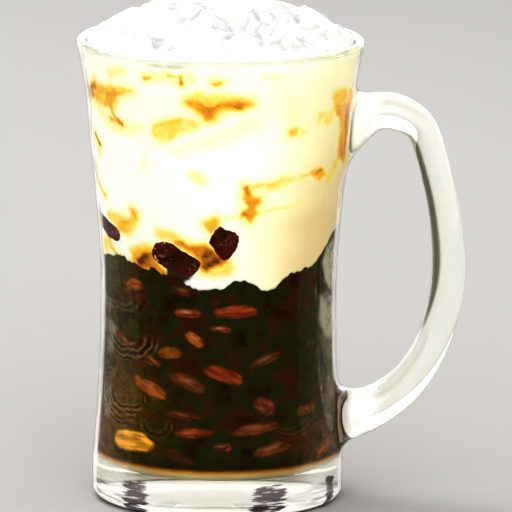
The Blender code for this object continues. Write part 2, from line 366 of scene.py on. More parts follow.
def soup_liquid(nodes, streaky):
    """The soup between the beans: dark, with olive haze that is a painted reflection, and swirls and
    ripples of pale starch.
    """
    liquid = nodes.noise(9, 4.0, 0.55).ramp(
        (0.28, srgb(22, 16, 4)), (0.40, srgb(44, 34, 8)), (0.50, srgb(34, 44, 12)),
        (0.60, srgb(62, 30, 10)), (0.74, srgb(28, 21, 5)),
    )
    # Painted reflection as olive haze, with the starch's swirls, where the soup meets the glass
    film = nodes.field("film")
    liquid = liquid.painted(srgb(102, 82, 12), streaky * film * 0.76)
    # The swirls bend round the beans
    flow = nodes.noise(7, 3.0, 0.6) * 26.0 + nodes.field("swirl")
    lines = flow.sine().remap(0.5, 1.0) * nodes.noise(6, 3.0, 0.55).remap(0.44, 0.62)
    liquid = liquid.painted(srgb(128, 112, 74), lines * film * 0.45)
    warm = nodes.field("warm") * streaky.remap(0.0, 1.0, 0.35, 1.0)
    liquid = liquid.painted(srgb(128, 92, 42), warm * 0.6)
    wave = (nodes.noise(7, 3.0, 0.6) * 17.0 + nodes.field("ring") * 3.8).sine()
    broken = nodes.noise(5, 3.0, 0.6).remap(0.29, 0.48) * nodes.field("rings")
    liquid = liquid.painted(srgb(26, 16, 4), wave.remap(0.1, -0.9) * broken * 0.6)
    return liquid.painted(srgb(140, 114, 72), wave.remap(0.0, 1.0) * broken * 0.65)


def with_beans(nodes, liquid):
    """The soup's colour with each bean as an uneven lens, in its own places along and across."""
    along, across, number = nodes.parts("bean_spot")
    u = (nodes.noise(3.1, 2.0) - 0.5) * 0.4 + along
    v = (nodes.noise(1.9, 3.0, 0.6) - 0.5) * 0.4 + across
    reach = abs(u) ** 2.9 + v * v
    murk = nodes.noise(4.5, 3.0, 0.6).remap(0.56, 0.38, 0.0, 0.34)
    inside = reach.remap(1.35, 0.3) * (nodes.field("bean") - murk)
    grain = nodes.noise(1 / MM, 4.0, where=nodes.joined(along * 1.3, across * 1.9, number))
    tone = grain.remap(0.34, 0.66, 0.5, 1.25)
    bean = nodes.field("bean_tint", "Color").painted(nodes.joined(tone, tone, tone), 1.0, "MULTIPLY")
    colour = liquid.painted(bean, inside.remap(0.0, 0.95))
    # Painted highlight: a pale pink streak along some beans
    seam = abs(v - 0.2).remap(0.5, 0.0) * abs(u + 0.1).remap(0.62, 0.0)
    return colour.painted(srgb(216, 160, 120), seam * nodes.field("pale"))


def soup_material():
    """Dark soup with the beans that touch the glass, from the fields that the mesh carries."""
    nodes = Nodes("bean_soup")
    streaky = nodes.noise(4.2, 4.0, 0.65, 1.1, stretch=(1.0, 0.5, 0.8)).remap(0.34, 0.66)
    colour = with_beans(nodes, soup_liquid(nodes, streaky))
    milk = streaky.remap(0.0, 0.5, 0.45, 1.0) * nodes.field("wedge")
    colour = colour.painted(srgb(178, 176, 152), milk)
    # Painted light: the soup's bottom turns amber to cream, as if lit through the thick base
    glow = nodes.field("floor_glow")
    amber = ((nodes.noise(7, 3.0, 0.6) - 0.5) * 0.5 + glow).ramp(
        (0.0, srgb(64, 36, 6)), (0.22, srgb(150, 92, 20)), (0.45, srgb(212, 150, 56)),
        (0.7, srgb(246, 204, 124)), (1.0, srgb(254, 236, 190)),
    )
    colour = colour.painted(amber, glow.remap(0.0, 0.3))
    # Painted light: the soup's underside is pale cream
    below = nodes.noise(11, 3.0, 0.55).ramp((0.35, srgb(232, 208, 158)), (0.65, srgb(248, 234, 200)))
    colour = colour.painted(below, nodes.field("under"))
    # Painted shade: a dark line down the soup near its left edge
    colour = colour.painted(srgb(8, 6, 2), nodes.field("edge"))
    return nodes.shaded(Base_Color=colour, Roughness=0.3, IOR=1.33, Specular_IOR_Level=0.0)


def ice_material():
    """Crushed ice in coconut milk with syrup in it, from the fields that the mesh carries."""
    nodes = Nodes("coconut_ice")
    milk = ((nodes.noise(14) - 0.5) * 0.4 + nodes.field("cream")).ramp(
        (0.0, srgb(255, 255, 252)), (0.18, srgb(255, 254, 238)), (0.38, srgb(255, 251, 216)),
        (0.68, srgb(247, 233, 186)), (1.0, srgb(236, 212, 158)),
    )
    ragged = nodes.noise(3.6, 4.0, 0.6, 0.4) - 0.5
    broad = nodes.noise(6.5, 2.0) - 0.5
    amount = nodes.field("syrup")
    stain = (broad * 0.6 + ragged * 0.45) * amount.remap(0.0, 0.5) + amount
    syrup = stain.ramp(
        (0.0, srgb(255, 254, 236)), (0.14, srgb(254, 251, 208)), (0.30, srgb(250, 238, 164)),
        (0.44, srgb(252, 224, 112)), (0.56, srgb(250, 200, 66)), (0.72, srgb(238, 164, 44)),
        (0.88, srgb(200, 124, 32)), (1.0, srgb(104, 58, 18)),
    )
    colour = milk.painted(syrup, stain.remap(0.02, 0.2), "DARKEN")
    colour = colour.painted(srgb(56, 30, 6), nodes.field("soupy"))
    # Painted shade: the open heap is greyer than the ice at the glass, which makes up for the stronger
    # light on it, and its crevices are darker
    frosty = nodes.noise(2.8, 3.0, 0.6).ramp((0.35, (0.38, 0.38, 0.375)), (0.65, (0.50, 0.50, 0.49)))
    crushed = frosty.painted((0.26, 0.265, 0.27), nodes.field("crevice"))
    colour = colour.painted(crushed, nodes.field("bare"))
    grains = nodes.bump(nodes.cells(1.6), 0.35, 0.4)
    return nodes.shaded(
        Base_Color=colour, Normal=grains, Roughness=0.45, IOR=1.33, Specular_IOR_Level=0.35
    )


def ice_bean_material():
    """The dark maroon skin of the beans in the ice, with painted highlights along its folds and painted
    glints: small pale specks where bits of ice on it catch the light.
    """
    nodes = Nodes("bean_in_ice")
    skin = nodes.noise(4.2, 4.0, 0.6).ramp(
        (0.3, srgb(30, 12, 3)), (0.45, srgb(58, 25, 6)), (0.56, srgb(82, 26, 18)),
        (0.68, srgb(62, 20, 24)), (0.8, srgb(118, 68, 26)),
    )
    fold = nodes.noise(3.4, 2.0, 0.5, 1.2, stretch=(1.0, 1.0, 1.8))
    # Painted highlights along the folds
    crease = abs(fold - 0.5).remap(0.035, 0.0) * nodes.noise(6, 1.0).remap(0.52, 0.66)
    skin = skin.painted(srgb(176, 110, 92), crease * 0.6)
    # Painted glints
    glints = nodes.cells(2.2).remap(0.2, 0.06) * nodes.noise(5, 1.0).remap(0.56, 0.62)
    skin = skin.painted(srgb(232, 196, 178), glints)
    wrinkles = nodes.bump(nodes.noise(1.4, 4.0, 0.6, 0.4), 0.5, 0.25)
    return nodes.shaded(
        Base_Color=skin, Normal=wrinkles, Roughness=0.3, IOR=1.4, Specular_IOR_Level=0.1
    )


def floor_material():
    nodes = Nodes("floor")
    tone = nodes.noise(400, 2.0).ramp((0.3, (0.236, 0.232, 0.226)), (0.7, (0.248, 0.244, 0.237)))
    return nodes.shaded(Base_Color=tone, Roughness=0.6, Specular_IOR_Level=0.0)


# The mug


# The hollow under the foot, as (radius, height)
FOOT_HOLLOW = [(0, 1.1), (6, 1.1), (13, 1.1), (20, 1.0), (25.5, 0.8), (29, 0.3), (31.4, 0.0), (33.2, 0.0)]
CAGE_SIDES = 48
HANDLE_SIDES = 16
PATCH = 4  # the handle grows out of this many by this many faces of the wall
HANDLE_COLUMN = CAGE_SIDES // 4
# Rows of the outside's cage: a handle's patch starts at each of PATCH_ROWS
OUTSIDE_ROWS = [
    4.2, 9.5, 16, 20.4, 24.6, 28.8, 33.2, 41, 50, 59, 68, 77, 86, 94, 101.5, 107, 112.5, 118, 123.3,
    128.5, 133, 135.8,
]
PATCH_ROWS = (16, 101.5)
INSIDE_ROWS = [135.8, 133, 128, 120, 110, 100, 90, 80, 70, 60, 50, 40, 30, 22]
FLOOR_ROWS = [21, 15, 8, 0]
# The handle's line from its upper root to its lower one: (distance from the axis, height, half height)
HANDLE = [
    (37.5, 114.2, 8.1), (41.2, 114.6, 7.0), (46.2, 116.2, 5.7), (52.0, 116.2, 5.5),
    (59.5, 112.0, 4.9), (62.8, 103.0, 4.7), (66.2, 89.7, 4.6), (68.3, 74.6, 5.0),
    (67.5, 59.4, 5.1), (63.0, 44.6, 5.1), (56.4, 34.4, 5.5), (49.4, 28.7, 6.0),
    (43.4, 25.7, 6.7), (38.0, 24.5, 7.7), (34.2, 24.3, 8.2),
]
HANDLE_ROOTS = (112, 24)
HANDLE_WIDTH_RATIO = 1.3
# The first and last rings clear of the wall, counted in stations of HANDLE
HANDLE_START = 1.55
HANDLE_END = 12.35
HANDLE_RINGS = 26
HANDLE_SAMPLES = 160
HANDLE_FROST = 0.14
ROOT_FROST = 0.45
FOOT_FROST = 0.6
BASE_FROST = 0.3
# Where painted dark reflections lie in the base as smudges, as (angle, half width in degrees)
SMUDGES = [(-40.5, 9.5), (24.5, 10), (64, 5)]
LIP_LINE = 136.0
THROUGH_ROUNDS = 40


def arc(centre, radius, start, end, steps):
    """Points (radius, height) along an arc, from the start angle to the end angle."""
    angles = np.radians(np.linspace(start, end, steps + 1))
    return [(centre[0] + radius * math.cos(a), centre[1] + radius * math.sin(a)) for a in angles]


def through(points):
    """The control points whose smooth subdivided line runs through the given points."""
    wanted = np.array(points, dtype=float)
    control = wanted.copy()
    for _ in range(THROUGH_ROUNDS):
        step = wanted - (np.roll(control, 1, axis=0) + 4 * control + np.roll(control, -1, axis=0)) / 6
        step[0] = step[-1] = 0
        control += step
    return control


def swell(sides):
    """How much wider than its smooth round a cage with that many sides is."""
    return 6 / (4 + 2 * math.cos(2 * math.pi / sides))


def mug_profile():
    """The cage's section from the middle of the foot to the middle of the floor, and its marked rows."""
    foot = arc((outer_radius(FOOT_ROUND) - FOOT_ROUND, FOOT_ROUND), FOOT_ROUND, -78, -14, 3)
    outside = [(outer_radius(z), z) for z in OUTSIDE_ROWS]
    lip = WALL / 2
    rim = MUG_HEIGHT - lip
    rim_round = arc((inner_radius(rim) + lip, rim), lip, 32, 148, 4)
    inside = [(inner_radius(z), z) for z in INSIDE_ROWS]
    corner = arc((inner_radius(FLOOR_BEND) - FLOOR_ROUND, FLOOR_BEND), FLOOR_ROUND, -8, -82, 5)
    floor = [(r, FLOOR) for r in FLOOR_ROWS]
    control = through(FOOT_HOLLOW + foot + outside + rim_round + inside + corner + floor)
    first_row = len(FOOT_HOLLOW) + len(foot)
    return control, [first_row + OUTSIDE_ROWS.index(z) for z in PATCH_ROWS]


def handle_at(station):
    """The handle's distance from the axis, height and half height at a place counted in stations."""
    return [smooth_line(list(enumerate(column)), station) for column in zip(*HANDLE)]


def handle_ring(station):
    """One ring of the handle's cage at a place counted in stations of HANDLE."""
    reach, height, half = handle_at(station)
    ahead = handle_at(station + 0.02)
    behind = handle_at(station - 0.02)
    along = Vector((ahead[0] - behind[0], 0, ahead[1] - behind[1])).normalized()
    up = Vector((-along.z, 0, along.x))
    half = float(half) * swell(HANDLE_SIDES)
    ring = []
    for k in range(HANDLE_SIDES):
        turn = math.radians(45) + 2 * math.pi * k / HANDLE_SIDES
        across = half * HANDLE_WIDTH_RATIO * math.cos(turn)
        ring.append(Vector((reach, across, height)) + up * half * math.sin(turn))
    return ring


def patch_outline(bottom, rows):
    """The outline of the wall's patch above a row, corner by corner as handle_ring counts."""
    columns = [HANDLE_COLUMN + k for k in range(-PATCH // 2, PATCH // 2 + 1)]
    top = bottom + PATCH
    outline = [(top, columns[PATCH - k]) for k in range(PATCH)]
    outline += [(top - k, columns[0]) for k in range(PATCH)]
    outline += [(bottom, columns[k]) for k in range(PATCH)]
    outline += [(bottom + k, columns[-1]) for k in range(PATCH)]
    return [rows[row][column] for row, column in outline]


def bridge(cage, rings):
    """Joins each ring of corners to the next with faces."""
    for one, two in zip(rings, rings[1:]):
        for k in range(len(one)):
            after = (k + 1) % len(one)
            cage.faces.new((one[k], one[after], two[after], two[k]))


def mug_cage():
    """The mug's cage: a turned body whose wall opens at two patches into the handle."""
    profile, patch_rows = mug_profile()
    cage = bmesh.new()
    rows = []
    for radius, height in profile[1:-1]:
        row = []
        for k in range(CAGE_SIDES):
            turn = 2 * math.pi * k / CAGE_SIDES
            wide = radius * swell(CAGE_SIDES)
            row.append(cage.verts.new((wide * math.sin(turn), -wide * math.cos(turn), height)))
        rows.append(row)
    bridge(cage, rows)
    for row, height in ((rows[0], profile[0][1]), (rows[-1], profile[-1][1])):
        centre = cage.verts.new((0, 0, height))
        for k in range(CAGE_SIDES):
            cage.faces.new((row[k], row[(k + 1) % CAGE_SIDES], centre))
    bottoms = [row - 1 for row in patch_rows]
    lower, upper = (patch_outline(bottom, rows) for bottom in bottoms)
    inside = range(1, PATCH)
    left = HANDLE_COLUMN - PATCH // 2
    inner = [rows[bottom + r][left + c] for bottom in bottoms for r in inside for c in inside]
    bmesh.ops.delete(cage, geom=inner, context="VERTS")
    stations = np.linspace(HANDLE_START, HANDLE_END, HANDLE_RINGS)
    rings = [[cage.verts.new(spot) for spot in handle_ring(s)] for s in stations]
    lower = [lower[(3 * PATCH - k) % len(lower)] for k in range(len(lower))]
    bridge(cage, [upper, *rings, lower])
    bmesh.ops.recalc_face_normals(cage, faces=cage.faces)
    bmesh.ops.scale(cage, vec=(MM, MM, MM), verts=cage.verts)
    return shape_mesh("mug_glass", cage)


def handle_marks(spots, reach):
    """Where painted shade darkens the handle's inner side in a stripe, and where thin painted shade lines
    run along it.
    """
    line = np.stack(handle_at(np.linspace(0, len(HANDLE) - 1, HANDLE_SAMPLES)), axis=-1)
    along = np.gradient(line[:, :2], axis=0)
    along /= np.linalg.norm(along, axis=1)[:, None]
    offsets = spots[:, None, ::2] - line[None, :, :2]
    nearest = np.argmin((offsets**2).sum(axis=2), axis=1)
    offset = offsets[np.arange(len(spots)), nearest]
    ahead = along[nearest]
    inward = (offset[:, 0] * ahead[:, 1] - offset[:, 1] * ahead[:, 0]) / line[nearest, 2]
    height = spots[:, 2]
    on_handle = smoothstep(45, 48, reach)
    middle = window(height, 44, 74, 104, 118)
    start = 0.93 - 0.42 * middle
    band = smoothstep(-0.09, 0.09, inward - start) * smoothstep(1.0, 0.93, inward)
    band *= smoothstep(0, 0.25, middle)
    lower = bell(inward - 0.55, 0.12) * smoothstep(56, 46, height)
    upper = bell(inward + 0.6, 0.14) * smoothstep(112, 118, height)
    return band * on_handle, 0.5 * (lower + upper) * on_handle


def mug_fields(mesh, spots):
    """Smudges that are painted dark reflections, streaks and frosting of the glass, the rim's painted grey
    shade, and the handle's painted shade lines and dark stripe.
    """
    angle, reach = round_places(spots)
    height = spots[:, 2]
    from_front = np.abs(angle)
    # Painted dark reflections, as smudges in the base
    smudge = np.maximum.reduce([bell(around(angle, a), width, 4) for a, width in SMUDGES])
    from_root = np.minimum.reduce([np.abs(height - root) for root in HANDLE_ROOTS])
    root = smoothstep(22, 12, np.abs(around(angle, 90))) * window(reach, 39, 41, 44, 50)
    root = root * smoothstep(14, 8, from_root)
    foot = smoothstep(4.5, 2.5, height) * smoothstep(28, 33, reach)
    sides = smoothstep(34, 52, from_front) * smoothstep(32, 34, reach)
    belt = sides * window(height, 5, 8, 11, 15.5) * smoothstep(42, 40, reach)
    frost = HANDLE_FROST * smoothstep(44, 49, reach) + ROOT_FROST * root + FOOT_FROST * foot
    # Painted grey shade: a thin line under the rim in front, and the rim's top, most at the sides
    thin = bell(height - LIP_LINE, 0.5) * (reach > 41) * window(angle, -34, -26, 0, 8)
    top = smoothstep(136.8, 137.5, height) * (0.1 + 0.8 * smoothstep(54, 60, from_front))
    # Painted shade on the handle: a dark stripe and thin lines
    band, tan = handle_marks(spots, reach)
    set_fields(
        mesh,
        smudge=smudge * smoothstep(11.5, 8.5, height) * smoothstep(8, 18, reach),
        base=smoothstep(19, 13, height),
        streaks=sides * window(height, 1.2, 3, 6.5, 9) * smoothstep(130, 100, from_front),
        frost=frost + BASE_FROST * belt,
        lip=np.maximum(thin, top),
        band=band,
        tan=tan,
    )


def build_mug():
    mug = new_object("mug_glass", mug_cage())
    smooth = mug.modifiers.new("smooth", "SUBSURF")
    smooth.levels = smooth.render_levels = 2
    bpy.context.view_layer.update()
    evaluated = mug.evaluated_get(bpy.context.evaluated_depsgraph_get())
    mesh = bpy.data.meshes.new_from_object(evaluated)
    mug.modifiers.clear()
    mug.data = mesh
    mesh.shade_smooth()
    spots = np.empty(len(mesh.vertices) * 3)
    mesh.vertices.foreach_get("co", spots)
    spots = spots.reshape(-1, 3)
    spots[:, 2] = np.maximum(spots[:, 2], 0)
    mesh.vertices.foreach_set("co", spots.ravel())
    mug_fields(mesh, spots / MM)
    return ridden(mug, glass_material(), "mug", "mug")


# The soup


ORANGE = srgb(160, 92, 34)
YELLOW = srgb(224, 162, 60)
RED = srgb(146, 66, 32)
BROWN = srgb(118, 64, 34)
MAROON = srgb(104, 46, 32)
PINK = srgb(140, 68, 50)
DIM = [srgb(70, 26, 12), srgb(62, 34, 12), srgb(84, 34, 14), srgb(52, 30, 10)]
# Beans at the glass in front: (angle, height, tilt, half length, half height, colour, strength, painted
# highlight)
SHOWN_BEANS = [
    (-48.8, 67.6, 10, 3.9, 2.1, ORANGE, 0.85, 0.0), (-18, 67.4, -4, 4.9, 1.8, MAROON, 0.6, 0.25),
    (-16.1, 61.1, -3, 4.2, 1.5, RED, 0.75, 0.8), (8.9, 61.7, 2, 6.3, 2.0, RED, 1.0, 0.0),
    (1.4, 56.6, -5, 3.5, 1.2, RED, 0.7, 0.8), (-12.2, 53.3, -35, 3.4, 1.7, ORANGE, 0.9, 0.45),
    (-38.4, 57.8, 80, 4.2, 2.6, MAROON, 0.4, 0.0), (-54.9, 49.8, -28, 4.4, 1.7, RED, 0.6, 0.3),
    (-25.5, 48.8, 6, 3.8, 2.0, ORANGE, 0.85, 0.0), (-35.5, 45.7, -25, 3.5, 1.6, BROWN, 0.8, 0.3),
    (25.7, 47, 20, 5.2, 1.6, BROWN, 0.7, 0.2), (2.9, 42.9, -20, 6.4, 2.2, RED, 0.95, 0.0),
    (-15.6, 40.3, -20, 6.0, 2.2, BROWN, 0.75, 0.4), (-37.3, 37.7, -22, 6.4, 2.3, ORANGE, 0.95, 0.2),
    (24.6, 33.2, -35, 3.6, 2.6, PINK, 0.75, 0.0), (-17.1, 30.2, -6, 5.2, 1.4, MAROON, 0.7, 0.2),
    (50.7, 30.4, 10, 4.4, 1.8, ORANGE, 0.45, 0.0), (-47.2, 20.8, 2, 7.7, 3.1, YELLOW, 1.3, 0.0),
    (-12.3, 25.3, 4, 6.2, 1.6, RED, 0.75, 0.2), (20.7, 26.6, 8, 7.4, 1.9, BROWN, 0.9, 0.15),
    (2.6, 21.3, -5, 2.8, 1.5, PINK, 0.65, 0.3), (29, 20.2, 12, 6.4, 2.0, BROWN, 0.75, 0.3),
    (-20.2, 18.1, -20, 5.8, 1.8, MAROON, 0.5, 0.0), (63.7, 17, 30, 4.4, 2.0, ORANGE, 0.6, 0.2),
    (54.5, 50.2, -25, 3.6, 1.6, BROWN, 0.35, 0.1), (-55.4, 33.4, 15, 4.6, 2.2, BROWN, 0.45, 0.1),
    (50, 61, -12, 4.0, 1.6, BROWN, 0.25, 0.0),
]
BACK_COLOURS = [ORANGE, RED, RED, BROWN, BROWN, MAROON, PINK]
# How strong the painted highlights of the beans round the back are
BACK_SEAMS = [0.0, 0.0, 0.3, 0.7]
BACK_FROM = 76
DIM_BEANS = 34
BACK_BEANS = 46
BEAN_TRIES = 4000
LOWEST_BEAN = 17
BEAN_TILTS = (-26, 22)
MM_PER_DEGREE = 0.56
# Milk that runs down in the soup: (strength, softness, outline in the picture)
MILK_RUNS = [
    (0.96, 1.0, [(322, 262), (326, 246), (333, 238), (335, 262), (334, 286), (330, 290), (325, 279)]),
    (0.8, 1.5, [(320, 296), (331, 291), (334, 318), (331, 338), (325, 336), (319, 320)]),
    (0.16, 1.6, [(319, 334), (331, 334), (332, 362), (323, 353)]),
    (0.16, 0.8, [(331, 335), (336, 335), (337, 384), (332, 380)]),
    (0.25, 1.2, [(105, 288), (110, 296), (113, 306), (109, 312), (105, 300)]),
    (0.22, 1.6, [(104, 384), (110, 382), (112, 396), (110, 414), (104, 416)]),
    (0.26, 1.2, [(107, 336), (113, 334), (114, 350), (107, 352)]),
    (0.32, 1.2, [(105, 318), (109, 316), (118, 327), (114, 334), (106, 330)]),
]
# Ripples of starch in the soup: (x, y in the picture, least and largest radius, strength)
RIPPLES = [
    (127, 394, 3.4, 9.6, 1.0), (125, 333, 3.0, 7.6, 0.85), (156, 421, 3.0, 5.4, 0.35),
    (292, 412, 4.5, 8.0, 0.15), (118, 292, 3.0, 6.0, 0.4),
]
# The angle of a painted dark shade line down the soup near its left edge
EDGE_LINE = -74.5
SOUP_COLUMNS = 480
SOUP_ROWS = 164
SOUP_OVERLAP = 1.5
CORNER_ROWS = 16
FLOOR_RINGS = 9
BEAN_RISE = 0.35
BRIGHT_FIRST = 0.5  # by how much a bright bean's edge goes before a dim one's
SWIRL_TURNS = 9.0  # the swirls' phase for each bean size away from a bean
FAR = 99.0


def grid_faces(rows, columns):
    """Faces of a grid that closes round the mug, with its rows from the top down."""
    return [
        (r * columns + c, (r + 1) * columns + c, (r + 1) * columns + after, r * columns + after)
        for r in range(rows - 1)
        for c, after in ((c, (c + 1) % columns) for c in range(columns))
    ]


def turned_points(angles, radii, heights):
    """Grid points from angles by column, and radii and heights by row and column."""
    turn = np.radians(angles)[None, :]
    return np.stack([radii * np.sin(turn), -radii * np.cos(turn), heights], axis=-1).reshape(-1, 3)


def clear_of(beans, angle, height, length, width, gap):
    """Whether a bean of that half size would lie clear of the others; a gap of 1 is just touching."""
    for other_angle, other_height, _, other_length, other_width, *_ in beans:
        aside = around(angle, other_angle) * MM_PER_DEGREE / (other_length + length)
        if not math.hypot(aside, (height - other_height) / (other_width + width)) > gap:
            return False
    return True


def scattered(rng, beans, count, start, end, highest, lengths, widths, gap):
    """Up to count places and half sizes for new beans, clear of the beans that the caller adds."""
    wanted = len(beans) + count
    for _ in range(BEAN_TRIES):
        if len(beans) == wanted:
            return
        place = rng.uniform(start, end), rng.uniform(LOWEST_BEAN, highest)
        size = rng.uniform(*lengths), rng.uniform(*widths)
        if clear_of(beans, *place, *size, gap):
            yield place, size


def all_beans(rng):
    """The beans in front, dim ones deeper in the soup, and scattered ones at the sides and the back."""
    beans = list(SHOWN_BEANS)
    dim = scattered(rng, beans, DIM_BEANS, -BACK_FROM, BACK_FROM, 66, (3.4, 6.2), (1.5, 2.4), 1.0)
    for place, size in dim:
        tilt = rng.uniform(*BEAN_TILTS)
        beans.append((*place, tilt, *size, rng.choice(DIM), rng.uniform(0.3, 0.65), 0.0))
    back = scattered(rng, beans, BACK_BEANS, BACK_FROM, 360 - BACK_FROM, 68, (3.6, 6.6), (1.5, 2.3), 1.1)
    for place, size in back:
        colour = rng.choice(BACK_COLOURS)
        tilt = rng.uniform(*BEAN_TILTS)
        beans.append((*place, tilt, *size, colour, rng.uniform(0.45, 1.0), rng.choice(BACK_SEAMS)))
    return beans


def soup_rows(angles):
    """Radii and heights of the soup's grid: its hidden top, its side, the corner and the floor."""
    top = smooth_line(SHORE, around(angles, 0)) + SOUP_OVERLAP
    share = np.linspace(0, 1, SOUP_ROWS)[:, None]
    side_z = top[None, :] + (FLOOR_BEND - top[None, :]) * share
    side_r = inner_radius(side_z) + SOUP_BITE
    lid = np.linspace(0.02, 0.985, MEETING_RINGS)[:, None]
    lid_z = MEETING_HEIGHT + (side_z[:1] - MEETING_HEIGHT) * lid**1.5
    down = np.radians(np.linspace(0, -90, CORNER_ROWS + 1)[1:])[:, None]
    reach = FLOOR_ROUND + SOUP_BITE
    corner_r = np.repeat(inner_radius(FLOOR_BEND) - FLOOR_ROUND + reach * np.cos(down), len(angles), axis=1)
    corner_z = np.repeat(FLOOR_BEND + reach * np.sin(down), len(angles), axis=1)
    floor_r = np.linspace(1, 0.01, FLOOR_RINGS + 1)[1:, None] * corner_r[-1:]
    floor_z = np.repeat(corner_z[-1:], FLOOR_RINGS, axis=0)
    radii = np.concatenate([lid * side_r[:1], side_r, corner_r, floor_r])
    return radii, np.concatenate([lid_z, side_z, corner_z, floor_z])


def bean_fields(angle, height, beans):
    """The beans' domes, and what shows of them: fields, colours, and places in the nearest bean."""
    shape = height.shape
    strength = np.zeros(shape)
    seam = np.zeros(shape)
    best = np.full(shape, FAR)
    second = np.full(shape, FAR)
    spot = np.zeros((*shape, 3))
    colour = np.ones((*shape, 4))
    dome = np.zeros(shape)
    for number, (at, level, tilt, length, width, hue, amount, pale) in enumerate(beans):
        aside = np.radians(around(angle, at)) * BEAN_RADIUS
        rise = height - level
        lean = math.radians(tilt)
        along = (aside * math.cos(lean) + rise * math.sin(lean)) / length
        across = (rise * math.cos(lean) - aside * math.sin(lean)) / width + 0.12 * along**2
        distance = np.hypot(along, across) - BRIGHT_FIRST * amount
        nearer = distance < best
        second = np.where(nearer, best, np.minimum(second, distance))
        best = np.where(nearer, distance, best)
        strength[nearer] = amount
        # How strong each bean's painted highlight is
        seam[nearer] = pale
        colour[nearer, :3] = hue
        spot[nearer] = np.stack([along, across, np.full(shape, 3.7 * number)], axis=-1)[nearer]
        dome = np.maximum(dome, np.sqrt(np.clip(1 - along**2 - across**2, 0, 1)) * min(1.0, amount))
    strength = strength * smoothstep(1.7, 1.45, best) * smoothstep(0.2, 0.5, second - best)
    fields = {"bean": strength, "pale": seam * strength, "swirl": best * SWIRL_TURNS}
    return dome, fields, colour, spot


def ripples(angle, height):
    """The distance from the nearest ripple's middle, and how strong its rings are there."""
    best = np.full(height.shape, FAR)
    strength = np.zeros(height.shape)
    for x, y, low, high, share in RIPPLES:
        at, level = seen(x, y)
        rise = height - level
        aside = np.radians(around(angle, at)) * BEAN_RADIUS * math.cos(math.radians(at))
        distance = np.hypot(aside, rise)
        rings = share * window(distance, low - 1, low + 0.5, high - 1, high + 1)
        strength = np.where(distance < best, rings * smoothstep(1.5, -1.5, rise), strength)
        best = np.minimum(best, distance)
    return best, strength


def starch_film(side, height):
    """How much olive haze and pale starch show at the glass; the haze is a painted reflection, most near
    the left and right edges in front.
    """
    from_front = np.abs(side)
    left = 0.74 * bell(around(side, -68), 18) * smoothstep(-112, -76, side)
    low_left = 1.1 * bell(around(side, -58), 24) * bell(height - 30, 16)
    right = bell(around(side, 76), 12)
    back = smoothstep(84, 116, from_front) * 0.32
    corner = 1.1 * smoothstep(27, 15, height) * window(from_front, 46, 68, 100, 130)
    return 0.05 + 0.9 * np.maximum.reduce([left, low_left, right, back, corner])


def milk_runs(angle, height):
    """Grey-white patches at the soup's edges, where some milk has run down."""
    total = np.zeros(height.shape)
    for strength, softness, outline in MILK_RUNS:
        distance = outline_distance(angle, height, seen_all(outline))
        total = np.maximum(total, strength * smoothstep(softness, -softness, distance))
    return total


def build_soup():
    beans = all_beans(random.Random(SEED))
    angles = np.arange(SOUP_COLUMNS) * 360.0 / SOUP_COLUMNS
    radii, heights = soup_rows(angles)
    angle = np.broadcast_to(angles[None, :], radii.shape)
    dome, fields, colour, spot = bean_fields(angle, heights, beans)
    at_side = slice(MEETING_RINGS + 1, MEETING_RINGS + SOUP_ROWS - 1)
    radii[at_side] += BEAN_RISE * dome[at_side]
    faces = grid_faces(len(radii), SOUP_COLUMNS)
    faces.append(tuple(range(SOUP_COLUMNS)))
    faces.append(tuple(reversed(range(radii.size - SOUP_COLUMNS, radii.size))))
    mesh = new_mesh("black_bean_soup", turned_points(angles, radii, heights), faces)
    side = around(angle, 0)
    warm = bell(around(angle, -66), 20) * bell(heights - 28, 17)
    warm = warm + 0.5 * bell(around(angle, 58), 20) * bell(heights - 22, 9)
    ring, rings = ripples(angle, heights)
    set_fields(mesh, "FLOAT_COLOR", "color", bean_tint=colour)
    set_fields(mesh, "FLOAT_VECTOR", "vector", bean_spot=spot)
    set_fields(
        mesh,
        **fields,
        film=starch_film(side, heights),
        wedge=milk_runs(angle, heights),
        warm=warm * smoothstep(-108, -74, side),
        # Painted light low in the soup
        floor_glow=smoothstep(14.8, 11.0, heights),
        ring=ring,
        rings=rings,
        # a painted dark shade line near the soup's left edge
        edge=0.5 * bell(around(angle, EDGE_LINE), 2.6) * window(heights, 30, 40, 77, 82),
        # Painted light on the soup's underside
        under=smoothstep(29, 24, radii) * smoothstep(10.6, 10.2, heights),
    )
    return ridden(new_object("black_bean_soup", mesh), soup_material(), "bean_soup", "bean_soup")


# The ice


